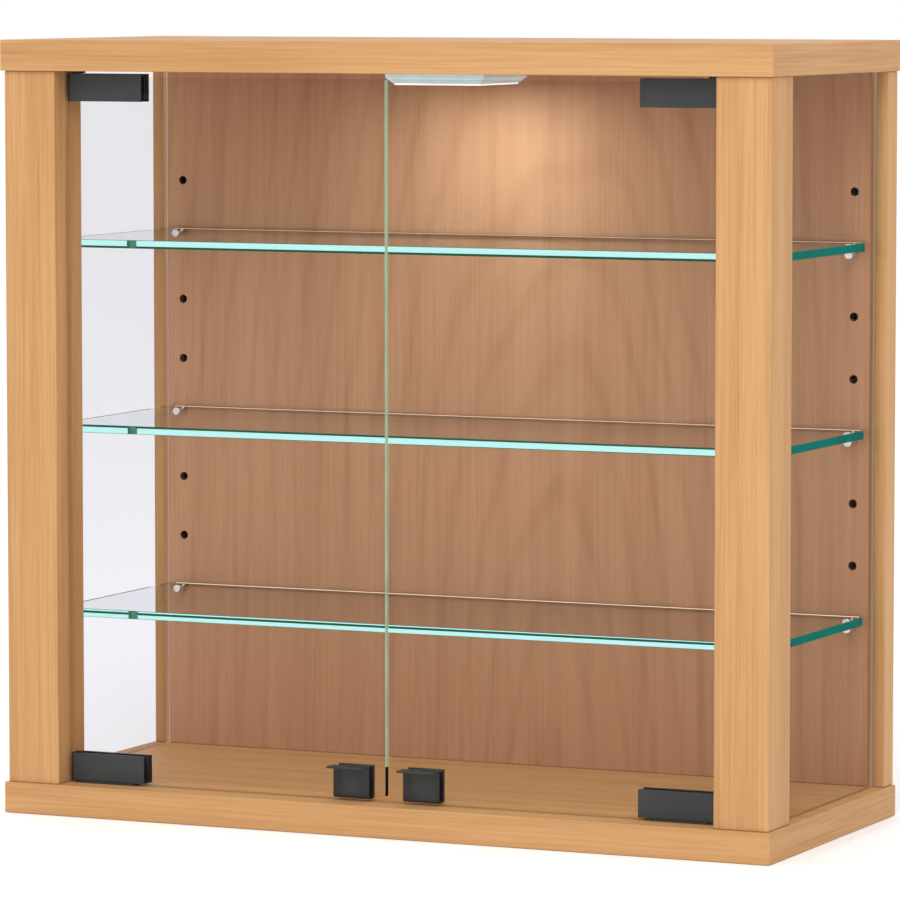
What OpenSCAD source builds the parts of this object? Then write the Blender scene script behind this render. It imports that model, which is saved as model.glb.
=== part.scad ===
// Wall display cabinet: two boards, two front posts and a thick back board,
// glass sides, two frameless glass doors on clamp hinges, three glass shelves
// on pins, and a flat lamp under the top board.
// X runs to the right, Y to the back, Z up. The origin is the middle of the underside.

/* [Cabinet] */
// Overall width, across the top and base boards
cabinet_w = 600; // [560:5:900]
// Overall depth of the top and base boards
cabinet_d = 255; // [235:5:320]
// Overall height
cabinet_h = 565; // [520:5:800]
// Thickness of the top and base boards
board_t = 22.5; // [19:0.5:28]
// Side of the square front posts
post_w = 41; // [39:1:50]
// Distance from the front edge of the boards to the posts
post_front_set = 3; // [1:0.5:6]
// Distance from the side edges of the boards to the posts and the back board
side_set = 2; // [0.5:0.5:5]
// Thickness of the back board
back_t = 19; // [18:0.5:25]

/* [Side panes] */
// Thickness of the side panes
side_glass_t = 4; // [3:0.5:5]
// Distance from the side edge of the boards to the outer face of the pane
side_glass_set = 11; // [9:0.5:14]
// Depth of the grooves that hold the panes
groove_depth = 6; // [4:0.5:7]
// Play of a pane on each side of its groove
groove_play = 0.2; // [0.1:0.05:0.4]

/* [Shelves] */
// Thickness of the shelves
shelf_t = 6; // [5:0.5:8]
// Distance between support holes, up the cabinet
hole_pitch = 45.3; // [40:0.1:50]
// Height of the lowest support hole above the base board
first_hole_up = 116; // [80:1:130]
// Support holes in each column
hole_rows = 8; // [7:1:9]
// Support holes from one shelf to the next
shelf_step = 3; // [2:1:3]
// Distance from the side edge of the boards to the column of support holes
hole_side_set = 27.6; // [25:0.1:32]
// Diameter of the support pins
support_d = 6.2; // [5:0.1:7]
// Length of a support pin inside its hole
support_shank = 11; // [9:0.5:11.5]
// Length of a support pin outside its hole
support_reach = 13; // [10:0.5:16]
// Depth of the flat on which the shelf lies
support_flat = 0.4; // [0.2:0.1:0.8]
// Gap between a shelf and the back board
shelf_rear_gap = 2; // [1:0.5:5]
// Gap between a shelf and the back of the posts
shelf_front_gap = 4; // [1:0.5:6]
// Gap between a shelf and each side pane
shelf_side_gap = 2.5; // [1:0.5:5]
// Cut across each corner of a shelf
shelf_corner = 4; // [2:0.5:6]

/* [Doors] */
// Thickness of the door glass
door_glass_t = 5; // [4:0.5:6]
// Distance from the front edge of the boards to the face of the doors
door_set = 20.5; // [16:0.5:24]
// Gap between the two doors
door_gap = 3; // [2:0.5:6]

/* [Hinges] */
// Length of a hinge clamp along the door
clip_len = 60; // [56:1:75]
// Height of a hinge clamp
clip_h = 20; // [17:0.5:26]
// Gap between a hinge clamp and the board beside it
clip_gap = 2; // [1.4:0.1:3]
// Wall of the clamp in front of the glass
clip_front_wall = 2; // [1.5:0.25:3]
// Wall of the clamp behind the glass, which takes the screws
clip_rear_wall = 3.6; // [3:0.1:5]
// Wall of the clamp at the edge of the glass
clip_web = 2.2; // [1.8:0.1:3]
// Wall of the clamp at the post end
clip_end_wall = 2; // [1.5:0.25:3]
// Radius of the clamp's corners at the post end
clip_corner_r = 2; // [1:0.25:3]
// Thickness of the liner on each side of the glass
liner_t = 0.5; // [0.4:0.1:1]
// Thickness of the plate that presses on the rear liner
press_plate_t = 1; // [0.8:0.1:1.6]
// Play behind the pressure plate
press_play = 0.4; // [0.3:0.1:0.8]
// Diameter of the pivot pins
pivot_d = 5; // [4:0.1:5.4]
// Distance from the clamp's post end to the pivot
pivot_set = 6; // [5.5:0.25:8]
// Depth of a pivot pin in the board
pivot_depth = 8; // [6:0.5:9]
// Diameter of the bush in the board
bush_d = 8; // [7:0.1:9]
// Diameter of the bush's flange in the gap
flange_d = 10; // [9.5:0.5:11]
// Width of a pivot plate, front to back
pivot_plate_w = 12; // [10:0.5:13]
// Length of a pivot plate along the door
pivot_plate_len = 43; // [40:1:50]
// Distance from the pivot to the near end of its plate
pivot_plate_set = 1.5; // [0.5:0.5:3]
// Diameter of the clamp screws
clamp_screw_d = 5; // [4:0.5:6]
// Distance between the two clamp screws
clamp_screw_pitch = 30; // [24:1:34]
// Gap that the clamp's corner keeps from the post as the door swings
swing_gap = 0.5; // [0.4:0.1:2]

/* [Handles] */
// Width of a handle
handle_w = 28; // [20:1:40]
// Height of a handle
handle_h = 22.6; // [18:0.2:30]
// Thickness of the handle's sheet
handle_sheet = 1.2; // [0.8:0.1:2]
// Reach of the lip in front of the handle
lip_reach = 12.5; // [8:0.5:14]
// Distance from the edge of the door to the handle
handle_set = 12; // [5:1:60]
// Thickness of the liner inside the handle
handle_liner_t = 0.3; // [0.2:0.1:0.8]

/* [Lamp] */
// Width and depth of the lamp
lamp_w = 78; // [72:1:90]
// Height of the lamp, with its diffuser
lamp_h = 10; // [9.5:0.5:14]
// Bevel round the lower edge of the lamp
lamp_bevel = 4.5; // [3:0.5:5]
// Distance from the front edge of the boards to the lamp
lamp_set = 101; // [70:1:120]
// Wall of the lamp housing
lamp_wall = 1.8; // [1.5:0.1:2.5]
// Height of the lit rim of the diffuser below the housing
diffuser_rim = 1; // [0.6:0.1:1.4]

/* [Joinery] */
// Diameter of the dowels
dowel_d = 8; // [6:0.5:9]
// Depth of a dowel in a board
dowel_in_board = 12; // [10:0.5:13]
// Depth of a dowel in a post or the back board
dowel_in_post = 18; // [14:0.5:22]
// Distance of a post's dowel and screw from the middle of the post
joint_offset = 7; // [6:0.5:8]
// Length of a connecting screw
screw_len = 48; // [44:1:60]
// Diameter of the screw's head
screw_head_d = 10; // [9:0.5:10.5]
// Diameter of the screw's plain neck
screw_neck_d = 6.8; // [6:0.1:7.5]
// Diameter of the screw's thread
screw_thread_d = 5.6; // [5:0.1:6]
// Thickness of the caps over the upper screws
cap_t = 1.2; // [0.8:0.1:1.6]
// Distance between the screws in the back board
back_screw_pitch = 190; // [150:5:200]
// Distance between the dowels in the back board
back_dowel_pitch = 190; // [120:5:220]

/* [Wall hangers] */
// Length of a hanging plate
hanger_len = 60; // [56:1:70]
// Height of a hanging plate
hanger_h = 30; // [28:1:40]
// Thickness of a hanging plate
hanger_t = 2; // [1.5:0.1:2.5]
// Distance from the side of the back board to the middle of a hanging plate
hanger_set = 58; // [50:1:80]
// Distance from the top board down to the middle of a hanging plate
hanger_drop = 50; // [40:1:60]
// Diameter of the hole that the wall screw's head enters
keyhole_d = 12; // [10:0.5:12]
// Width of the slot that hangs on the wall screw
keyhole_slot = 5; // [4:0.5:6]
// Travel of the wall screw up the slot
keyhole_travel = 10; // [8:0.5:11]
// Depth of the pocket behind the hanging plate
pocket_depth = 7; // [5:0.5:8]

/* [Hidden] */

$fn = 48;

// Colours
BEECH = "#dba873";
BEECH_INSIDE = "#b98a5e";
GLASS = "#bfe6dc";
BLACK = "#3a3c3c";
STEEL = "#b9bcbe";
RUBBER = "#5a5d5e";
LAMP_GREY = "#aecbd0";
LAMP_WHITE = "#fff3e0";
BOARD_WHITE = "#e9ece8";

// Fits
run_gap = 0.3;
seat_gap = 0.3;
pin_fit = 0.05;
drill_fit = 0.1;
hole_spare = 1;
over = 1;

// Carcass
front_y = -cabinet_d / 2;
rear_y = cabinet_d / 2;
half_w = cabinet_w / 2;
inner_z0 = board_t;
inner_z1 = cabinet_h - board_t;
post_x1 = half_w - side_set;
post_x0 = post_x1 - post_w;
post_y0 = front_y + post_front_set;
post_y1 = post_y0 + post_w;
back_y0 = rear_y - back_t;
back_half = half_w - side_set;

// Side panes
pane_x1 = half_w - side_glass_set;
pane_x0 = pane_x1 - side_glass_t;
groove_x0 = pane_x0 - groove_play;
groove_x1 = pane_x1 + groove_play;
groove_y0 = post_y1 - groove_depth;
groove_y1 = back_y0 + groove_depth;

// Shelves and their supports
hole_x = half_w - hole_side_set;
hole_d = support_d + 2 * drill_fit;
hole_depth = support_shank + hole_spare;
shelf_half = pane_x0 - shelf_side_gap;
shelf_y0 = post_y1 + shelf_front_gap;
shelf_y1 = back_y0 - shelf_rear_gap;
support_bevel = 0.5;
function hole_z(row) = inner_z0 + first_hole_up + row * hole_pitch;
function shelf_z(row) = hole_z(row) + support_d / 2 - support_flat;

// Doors, clamps and pivots
door_y0 = front_y + door_set;
door_y1 = door_y0 + door_glass_t;
slot_y0 = door_y0 - liner_t;
slot_y1 = door_y1 + liner_t + press_plate_t + press_play;
clip_y0 = slot_y0 - clip_front_wall;
clip_y1 = slot_y1 + clip_rear_wall;
clip_d = clip_y1 - clip_y0;
pivot_y = (clip_y0 + clip_y1) / 2;
corner_reach = norm([pivot_set - clip_corner_r, clip_d / 2 - clip_corner_r]) + clip_corner_r;
pivot_x = post_x0 - swing_gap - corner_reach;
clip_x1 = pivot_x + pivot_set;
clip_x0 = clip_x1 - clip_len;
clip_z0 = inner_z0 + clip_gap;
door_x0 = door_gap / 2;
door_x1 = clip_x1 - clip_end_wall - seat_gap;
door_z0 = clip_z0 + clip_web + seat_gap;
door_z1 = cabinet_h - door_z0;
liner_side = 1.5;
liner_len = clip_len - clip_end_wall - 2 * liner_side;
liner_h = clip_h - clip_web - seat_gap - liner_side;
clamp_x = clip_x0 + (clip_len - clip_end_wall) / 2;
clamp_z = clip_z0 + clip_web + (clip_h - clip_web) / 2;
plate_t = clip_gap - run_gap;
bush_len = pivot_depth + hole_spare;
pin_tip = 0.8;
plate_r = 2;
plate_x1 = pivot_x - pivot_plate_set;
plate_x0 = plate_x1 - pivot_plate_len;
plate_screw_d = 3;
plate_screw_len = 14;
plate_screw_edge = 10;
plate_screw_pitch = 20;
plate_screw_x = plate_x0 + plate_screw_edge;
screw_recess = 0.8;

// Handles
handle_x0 = door_x0 + handle_set;
handle_y0 = door_y0 - handle_liner_t - handle_sheet;
handle_z0 = door_z0 - handle_liner_t - handle_sheet;
handle_z1 = handle_z0 + handle_h;

// Lamp
lamp_y0 = front_y + lamp_set;
lamp_y = lamp_y0 + lamp_w / 2;
lamp_z1 = inner_z1;
housing_h = lamp_h - diffuser_rim;
lamp_z0 = lamp_z1 - housing_h;
lamp_top = 2;
lamp_face = lamp_w - 2 * lamp_bevel;
lamp_hollow = lamp_face - 2 * lamp_wall;
lamp_screw_d = 3.5;
lamp_screw_len = 14;
spigot_h = 1.5;
spigot_w = lamp_hollow - 2 * seat_gap;
diffuser_edge = 0.5;
lamp_screw_edge = 6;
lamp_screw_x = lamp_hollow / 2 - lamp_screw_edge;
light_board_gap = 2;
light_board_w = 2 * (lamp_screw_x - lamp_screw_d - light_board_gap);
light_board_l = 54;
light_board_t = 1.6;
chip_w = 3.5;
chip_t = 0.8;
chip_pitch = 14;
inlet_w = 10;
inlet_h = 3;
inlet_d = 8;
inlet_wall = 0.6;
inlet_pin_d = 0.8;
inlet_z = lamp_z1 - lamp_top - seat_gap - inlet_h / 2;

// Joinery
post_x = (post_x0 + post_x1) / 2;
post_y = (post_y0 + post_y1) / 2;
back_y = (back_y0 + rear_y) / 2;
cap_lip = 1;
cap_d = screw_head_d + 2 * cap_lip;
head_h = 3;
screw_sink = 0.5;
neck_h = 8;
socket_af = 4;
socket_depth = 2.4;
dowel_bevel = 1;

// Wall hangers
hanger_x = back_half - hanger_set;
hanger_z = inner_z1 - hanger_drop;
hanger_screw_d = 3.5;
hanger_screw_len = 12;
hanger_screw_edge = 6;
hanger_screw_x = hanger_len / 2 - hanger_screw_edge;
hanger_corner_r = 3;
keyhole_z0 = hanger_z - keyhole_travel / 2;
pocket_margin = 2;

// A box between two corners
module box(low, high) {
    translate(low) cube(high - low);
}

// A cylinder along Y, from y0 to y1
module rod_y(d, y0, y1) {
    translate([0, y0, 0]) rotate([-90, 0, 0]) cylinder(d = d, h = y1 - y0);
}

// Both sides of the cabinet
module both_sides() {
    children();
    mirror([1, 0, 0]) children();
}

// The right side's piece, moved to the left side
module left() {
    mirror([1, 0, 0]) children();
}

// A piece at the bottom of the cabinet, turned over to its place at the top
module at_top() {
    translate([0, 0, cabinet_h]) mirror([0, 0, 1]) children();
}

// The bottom piece and its copy at the top
module both_ends() {
    children();
    at_top() children();
}

// Places of the screws and dowels in the base board
module at_post_screws() {
    for (s = [-1, 1]) translate([s * post_x, post_y - joint_offset, 0]) children();
}

module at_back_screws() {
    for (i = [-1 : 1]) translate([i * back_screw_pitch, back_y, 0]) children();
}

module at_screws() {
    at_post_screws() children();
    at_back_screws() children();
}

module at_post_dowels() {
    for (s = [-1, 1]) translate([s * post_x, post_y + joint_offset, 0]) children();
}

module at_back_dowels() {
    for (s = [-1, 1]) translate([s * back_dowel_pitch / 2, back_y, 0]) children();
}

// Places of the two screws of a lower pivot plate, at the height z
module at_plate_screws(z) {
    for (i = [0, 1]) translate([plate_screw_x + i * plate_screw_pitch, pivot_y, z]) children();
}

// Countersunk screw with its head's face at Z 0 and its tip below
module flat_screw(d, len, head_d) {
    head = (head_d - d) / 2;
    difference() {
        union() {
            translate([0, 0, -head]) cylinder(d1 = d, d2 = head_d, h = head);
            translate([0, 0, -len + d]) cylinder(d = d, h = len - d - head);
            translate([0, 0, -len]) cylinder(d1 = d / 3, d2 = d, h = d);
        }
        for (turn = [0, 90]) rotate([0, 0, turn]) {
            box([-head_d / 4, -screw_recess / 2, -head / 2], [head_d / 4, screw_recess / 2, over]);
        }
    }
}

// Hole for that screw, open above Z 0
module flat_screw_hole(d, len, head_d) {
    head = (head_d - d) / 2;
    translate([0, 0, -len - drill_fit]) cylinder(d = d + 2 * drill_fit, h = len + over);
    translate([0, 0, -head]) cylinder(d1 = d + 2 * drill_fit, d2 = head_d + 2 * drill_fit, h = head);
    cylinder(d = head_d + 2 * drill_fit, h = over);
}

// Carcass

module dowel_hole() {
    translate([0, 0, inner_z0 - dowel_in_board - drill_fit])
        cylinder(d = dowel_d + 2 * drill_fit, h = dowel_in_board + dowel_in_post + 2 * drill_fit);
}

// Hole of a connecting screw in the base board and what stands on it
module screw_hole(sink) {
    translate([0, 0, -over]) cylinder(d = screw_head_d + 2 * drill_fit, h = over + sink + head_h);
    translate([0, 0, sink]) cylinder(d = screw_neck_d + 2 * drill_fit, h = board_t + neck_h - sink);
    translate([0, 0, sink]) cylinder(d = screw_thread_d + 2 * drill_fit, h = screw_len + drill_fit);
}

// Bush hole and screw holes of the lower pivot plate
module pivot_holes(screws) {
    translate([pivot_x, pivot_y, inner_z0 - bush_len - drill_fit])
        cylinder(d = bush_d + 2 * drill_fit, h = bush_len + over);
    if (screws) at_plate_screws(inner_z0 - plate_screw_len)
        cylinder(d = plate_screw_d + 2 * drill_fit, h = plate_screw_len + over);
}

// The base board, or the top board turned over
module end_board(sink, plate_screws) {
    difference() {
        box([-half_w, front_y, 0], [half_w, rear_y, board_t]);
        both_sides() {
            box([groove_x0, groove_y0, inner_z0 - groove_depth], [groove_x1, groove_y1, inner_z0 + over]);
            pivot_holes(plate_screws);
        }
        at_screws() screw_hole(sink);
        at_post_dowels() dowel_hole();
        at_back_dowels() dowel_hole();
    }
}

module base_board() {
    color(BEECH) end_board(screw_sink, true);
}

module top_board() {
    color(BEECH) difference() {
        at_top() difference() {
            end_board(cap_t, false);
            at_screws() translate([0, 0, -over]) cylinder(d = cap_d + 2 * drill_fit, h = over + cap_t);
        }
        for (s = [-1, 1]) translate([s * lamp_screw_x, lamp_y, inner_z1 - over])
            cylinder(d = lamp_screw_d + 2 * drill_fit, h = lamp_screw_len - lamp_top + over + drill_fit);
    }
}

// Support holes, bored along Y into a face
module support_holes(face_y, way) {
    for (row = [0 : hole_rows - 1]) translate([hole_x, 0, hole_z(row)])
        if (way > 0) rod_y(hole_d, face_y - over, face_y + hole_depth);
        else rod_y(hole_d, face_y - hole_depth, face_y + over);
}

module right_post() {
    color(BEECH) difference() {
        box([post_x0, post_y0, inner_z0], [post_x1, post_y1, inner_z1]);
        box([groove_x0, groove_y0, inner_z0 - over], [groove_x1, post_y1 + over, inner_z1 + over]);
        support_holes(post_y1, -1);
        at_post_screws() screw_hole(screw_sink);
        at_top() at_post_screws() screw_hole(cap_t);
        both_ends() at_post_dowels() dowel_hole();
    }
}

module left_post() {
    left() right_post();
}

// Recess, pocket and screw holes of a hanging plate
module hanger_cut() {
    pocket_w = keyhole_d + 2 * pocket_margin;
    pocket_h = keyhole_d + keyhole_travel + 2 * pocket_margin;
    box([hanger_x - hanger_len / 2 - drill_fit, rear_y - hanger_t, hanger_z - hanger_h / 2 - drill_fit],
        [hanger_x + hanger_len / 2 + drill_fit, rear_y + over, hanger_z + hanger_h / 2 + drill_fit]);
    box([hanger_x - pocket_w / 2, rear_y - hanger_t - pocket_depth, hanger_z - pocket_h / 2],
        [hanger_x + pocket_w / 2, rear_y, hanger_z + pocket_h / 2]);
    for (s = [-1, 1]) translate([hanger_x + s * hanger_screw_x, 0, hanger_z])
        rod_y(hanger_screw_d + 2 * drill_fit, rear_y - hanger_screw_len - drill_fit, rear_y);
}

module back_board() {
    color(BEECH_INSIDE) difference() {
        box([-back_half, back_y0, inner_z0], [back_half, rear_y, inner_z1]);
        both_sides() {
            box([groove_x0, back_y0 - over, inner_z0 - over], [groove_x1, groove_y1, inner_z1 + over]);
            support_holes(back_y0, 1);
            hanger_cut();
        }
        at_back_screws() screw_hole(screw_sink);
        at_top() at_back_screws() screw_hole(cap_t);
        both_ends() at_back_dowels() dowel_hole();
    }
}

module right_side_glass() {
    color(GLASS, 0.35)
        box([pane_x0, groove_y0 + groove_play, inner_z0 - groove_depth],
            [pane_x1, groove_y1 - groove_play, inner_z1 + groove_depth - groove_play]);
}

module left_side_glass() {
    left() right_side_glass();
}

// Shelves

module shelf(row) {
    color(GLASS, 0.35) translate([0, 0, shelf_z(row)]) linear_extrude(shelf_t) polygon([
        [-shelf_half + shelf_corner, shelf_y0], [shelf_half - shelf_corner, shelf_y0],
        [shelf_half, shelf_y0 + shelf_corner], [shelf_half, shelf_y1 - shelf_corner],
        [shelf_half - shelf_corner, shelf_y1], [-shelf_half + shelf_corner, shelf_y1],
        [-shelf_half, shelf_y1 - shelf_corner], [-shelf_half, shelf_y0 + shelf_corner]
    ]);
}

// Support pin along Y from the face it stands in: its shank behind, its stub in front
module support_pin() {
    difference() {
        union() {
            rod_y(support_d, -support_shank, support_reach - support_bevel);
            translate([0, support_reach - support_bevel, 0]) rotate([-90, 0, 0])
                cylinder(d1 = support_d, d2 = support_d - 2 * support_bevel, h = support_bevel);
        }
        box([-support_d, 0, support_d / 2 - support_flat], [support_d, support_reach + over, support_d]);
    }
}

module shelf_supports(row) {
    color(STEEL) both_sides() {
        translate([hole_x, post_y1, hole_z(row)]) support_pin();
        translate([hole_x, back_y0, hole_z(row)]) mirror([0, 1, 0]) support_pin();
    }
}

module lower_shelf() {
    shelf(0);
}

module middle_shelf() {
    shelf(shelf_step);
}

module upper_shelf() {
    shelf(2 * shelf_step);
}

module lower_shelf_supports() {
    shelf_supports(0);
}

module middle_shelf_supports() {
    shelf_supports(shelf_step);
}

module upper_shelf_supports() {
    shelf_supports(2 * shelf_step);
}

// Joinery

module dowel() {
    len = dowel_in_board + dowel_in_post;
    end_d = dowel_d - 2 * dowel_bevel;
    translate([0, 0, inner_z0 - dowel_in_board]) {
        cylinder(d1 = end_d, d2 = dowel_d, h = dowel_bevel);
        translate([0, 0, dowel_bevel]) cylinder(d = dowel_d, h = len - 2 * dowel_bevel);
        translate([0, 0, len - dowel_bevel]) cylinder(d1 = dowel_d, d2 = end_d, h = dowel_bevel);
    }
}

module post_dowels() {
    color(BEECH) both_ends() at_post_dowels() dowel();
}

module back_dowels() {
    color(BEECH) both_ends() at_back_dowels() dowel();
}

// Connecting screw, its head's face at the height sink above the underside
module connecting_screw(sink) {
    translate([0, 0, sink]) difference() {
        union() {
            cylinder(d = screw_head_d, h = head_h - drill_fit);
            cylinder(d = screw_neck_d, h = board_t + neck_h - sink - drill_fit);
            cylinder(d = screw_thread_d, h = screw_len - screw_thread_d / 2);
            translate([0, 0, screw_len - screw_thread_d / 2])
                cylinder(d1 = screw_thread_d, d2 = screw_thread_d / 3, h = screw_thread_d / 2);
        }
        translate([0, 0, -over]) cylinder(d = socket_af / cos(30), h = over + socket_depth, $fn = 6);
    }
}

module base_screws() {
    color(STEEL) at_screws() connecting_screw(screw_sink);
}

module top_screws() {
    color(STEEL) at_top() at_screws() connecting_screw(cap_t);
}

module screw_caps() {
    stem = socket_depth - seat_gap;
    color(BEECH) at_top() at_screws() {
        cylinder(d = cap_d, h = cap_t);
        cylinder(d = socket_af - 2 * drill_fit, h = cap_t + stem);
    }
}

// Wall hangers

module keyhole() {
    rotate([90, 0, 0]) linear_extrude(hanger_t + 2 * over, center = true) {
        circle(d = keyhole_d);
        translate([-keyhole_slot / 2, 0]) square([keyhole_slot, keyhole_travel]);
        translate([0, keyhole_travel]) circle(d = keyhole_slot);
    }
}

module hanger_blank() {
    flat = hanger_len / 2 - hanger_corner_r;
    rise = hanger_h / 2 - hanger_corner_r;
    box([-flat, rear_y - hanger_t, -hanger_h / 2], [flat, rear_y, hanger_h / 2]);
    box([-hanger_len / 2, rear_y - hanger_t, -rise], [hanger_len / 2, rear_y, rise]);
    for (x = [-flat, flat], z = [-rise, rise]) translate([x, 0, z])
        rod_y(2 * hanger_corner_r, rear_y - hanger_t, rear_y);
}

// Turns a screw that points down to one that enters the back board from behind
module from_behind() {
    translate([0, rear_y, 0]) rotate([-90, 0, 0]) children();
}

module right_hanger_plate() {
    color(STEEL) difference() {
        translate([hanger_x, 0, hanger_z]) hanger_blank();
        translate([hanger_x, rear_y - hanger_t / 2, keyhole_z0]) keyhole();
        for (s = [-1, 1]) translate([hanger_x + s * hanger_screw_x, 0, hanger_z]) from_behind()
            flat_screw_hole(hanger_screw_d, hanger_screw_len, 2 * hanger_screw_d);
    }
}

module left_hanger_plate() {
    left() right_hanger_plate();
}

module hanger_screws() {
    color(STEEL) both_sides() for (s = [-1, 1])
        translate([hanger_x + s * hanger_screw_x, 0, hanger_z]) from_behind()
            flat_screw(hanger_screw_d, hanger_screw_len, 2 * hanger_screw_d);
}

// Pivot bushes and plates

// Bush in the base board, with its flange on the board
module pivot_bush() {
    translate([pivot_x, pivot_y, inner_z0]) {
        translate([0, 0, -bush_len]) cylinder(d = bush_d, h = bush_len + plate_t);
        cylinder(d = flange_d, h = plate_t);
    }
}

// Bore of that bush, open at the top
module pivot_bore() {
    translate([pivot_x, pivot_y, inner_z0 - pivot_depth - seat_gap])
        cylinder(d = pivot_d + 2 * pin_fit, h = pivot_depth + clip_gap + over);
}

// Plate on the base board beside the bush, its corners rounded
module plate_blank() {
    y0 = pivot_y - pivot_plate_w / 2;
    translate([plate_x0 + plate_r, y0, inner_z0])
        cube([pivot_plate_len - 2 * plate_r, pivot_plate_w, plate_t]);
    translate([plate_x0, y0 + plate_r, inner_z0])
        cube([pivot_plate_len, pivot_plate_w - 2 * plate_r, plate_t]);
    for (x = [plate_x0 + plate_r, plate_x1 - plate_r], s = [-1, 1])
        translate([x, pivot_y + s * (pivot_plate_w / 2 - plate_r), inner_z0])
            cylinder(r = plate_r, h = plate_t);
}

module lower_right_pivot_plate() {
    color(BLACK) difference() {
        union() {
            plate_blank();
            pivot_bush();
        }
        pivot_bore();
        at_plate_screws(inner_z0 + plate_t)
            flat_screw_hole(plate_screw_d, plate_screw_len, plate_screw_d + 2 * plate_t);
    }
}

module lower_left_pivot_plate() {
    left() lower_right_pivot_plate();
}

module upper_right_pivot_bush() {
    color(BLACK) at_top() difference() {
        pivot_bush();
        pivot_bore();
    }
}

module upper_left_pivot_bush() {
    left() upper_right_pivot_bush();
}

module pivot_plate_screws() {
    color(STEEL) both_sides() at_plate_screws(inner_z0 + plate_t)
        flat_screw(plate_screw_d, plate_screw_len, plate_screw_d + 2 * plate_t);
}

// Doors

module right_door_glass() {
    color(GLASS, 0.35) box([door_x0, door_y0, door_z0], [door_x1, door_y1, door_z1]);
}

module left_door_glass() {
    left() right_door_glass();
}

// Block of the lower right clamp, its two corners at the post end rounded
module clip_block() {
    flat_x = clip_x1 - clip_corner_r;
    box([clip_x0, clip_y0, clip_z0], [flat_x, clip_y1, clip_z0 + clip_h]);
    box([clip_x0, clip_y0 + clip_corner_r, clip_z0], [clip_x1, clip_y1 - clip_corner_r, clip_z0 + clip_h]);
    for (y = [clip_y0 + clip_corner_r, clip_y1 - clip_corner_r]) translate([flat_x, y, clip_z0])
        cylinder(r = clip_corner_r, h = clip_h);
}

module at_clamp_screws() {
    for (s = [-1, 1]) translate([clamp_x + s * clamp_screw_pitch / 2, 0, clamp_z]) children();
}

module lower_right_clip() {
    color(BLACK) difference() {
        clip_block();
        box([clip_x0 - over, slot_y0, clip_z0 + clip_web],
            [clip_x1 - clip_end_wall, slot_y1, clip_z0 + clip_h + over]);
        translate([pivot_x, pivot_y, clip_z0 - over])
            cylinder(d = pivot_d + 2 * pin_fit, h = clip_web + 2 * over);
        at_clamp_screws() rod_y(clamp_screw_d + 2 * pin_fit, slot_y1 - over, clip_y1 + over);
    }
}

module upper_right_clip() {
    at_top() lower_right_clip();
}

module lower_left_clip() {
    left() lower_right_clip();
}

module upper_left_clip() {
    left() upper_right_clip();
}

module right_pivot_pins() {
    len = pivot_depth + clip_gap + clip_web;
    color(STEEL) both_ends() translate([pivot_x, pivot_y, inner_z0 - pivot_depth]) {
        cylinder(d1 = pivot_d - 2 * pin_tip, d2 = pivot_d, h = pin_tip);
        translate([0, 0, pin_tip]) cylinder(d = pivot_d, h = len - pin_tip);
    }
}

module left_pivot_pins() {
    left() right_pivot_pins();
}

// Pad in the lower right clamp, from y0 to y1
module clamp_pad(y0, y1) {
    box([clip_x0 + liner_side, y0, clip_z0 + clip_web + seat_gap],
        [clip_x0 + liner_side + liner_len, y1, clip_z0 + clip_web + seat_gap + liner_h]);
}

module right_clip_liners() {
    color(RUBBER) both_ends() {
        clamp_pad(slot_y0, door_y0);
        clamp_pad(door_y1, door_y1 + liner_t);
    }
}

module left_clip_liners() {
    left() right_clip_liners();
}

module right_pressure_plates() {
    color(STEEL) both_ends() clamp_pad(door_y1 + liner_t, door_y1 + liner_t + press_plate_t);
}

module left_pressure_plates() {
    left() right_pressure_plates();
}

// Headless screw from the rear wall to the pressure plate, with a hex socket behind
module clamp_screw() {
    y0 = slot_y1 - press_play;
    y1 = clip_y1 - seat_gap;
    socket = (y1 - y0) / 2;
    difference() {
        rod_y(clamp_screw_d, y0, y1);
        translate([0, y1 - socket, 0]) rotate([-90, 0, 0])
            cylinder(d = clamp_screw_d / 2 / cos(30), h = socket + over, $fn = 6);
    }
}

module right_clamp_screws() {
    color(STEEL) both_ends() at_clamp_screws() clamp_screw();
}

module left_clamp_screws() {
    left() right_clamp_screws();
}

// Handles

// Channel over the lower edge of the door, between two thicknesses off the glass
module door_channel(inner, outer, top_z) {
    difference() {
        box([handle_x0, door_y0 - outer, door_z0 - outer],
            [handle_x0 + handle_w, door_y1 + outer, top_z]);
        box([handle_x0 - over, door_y0 - inner, door_z0 - inner],
            [handle_x0 + handle_w + over, door_y1 + inner, top_z + over]);
    }
}

module right_handle() {
    color(BLACK) {
        door_channel(handle_liner_t, handle_liner_t + handle_sheet, handle_z1);
        box([handle_x0, handle_y0 - lip_reach, handle_z1 - handle_sheet],
            [handle_x0 + handle_w, handle_y0 + handle_sheet / 2, handle_z1]);
    }
}

module left_handle() {
    left() right_handle();
}

module right_handle_liner() {
    color(RUBBER) door_channel(0, handle_liner_t, handle_z1 - handle_sheet);
}

module left_handle_liner() {
    left() right_handle_liner();
}

// Lamp

module square_slab(w, z0, z1) {
    translate([-w / 2, lamp_y - w / 2, z0]) cube([w, w, z1 - z0]);
}

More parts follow.
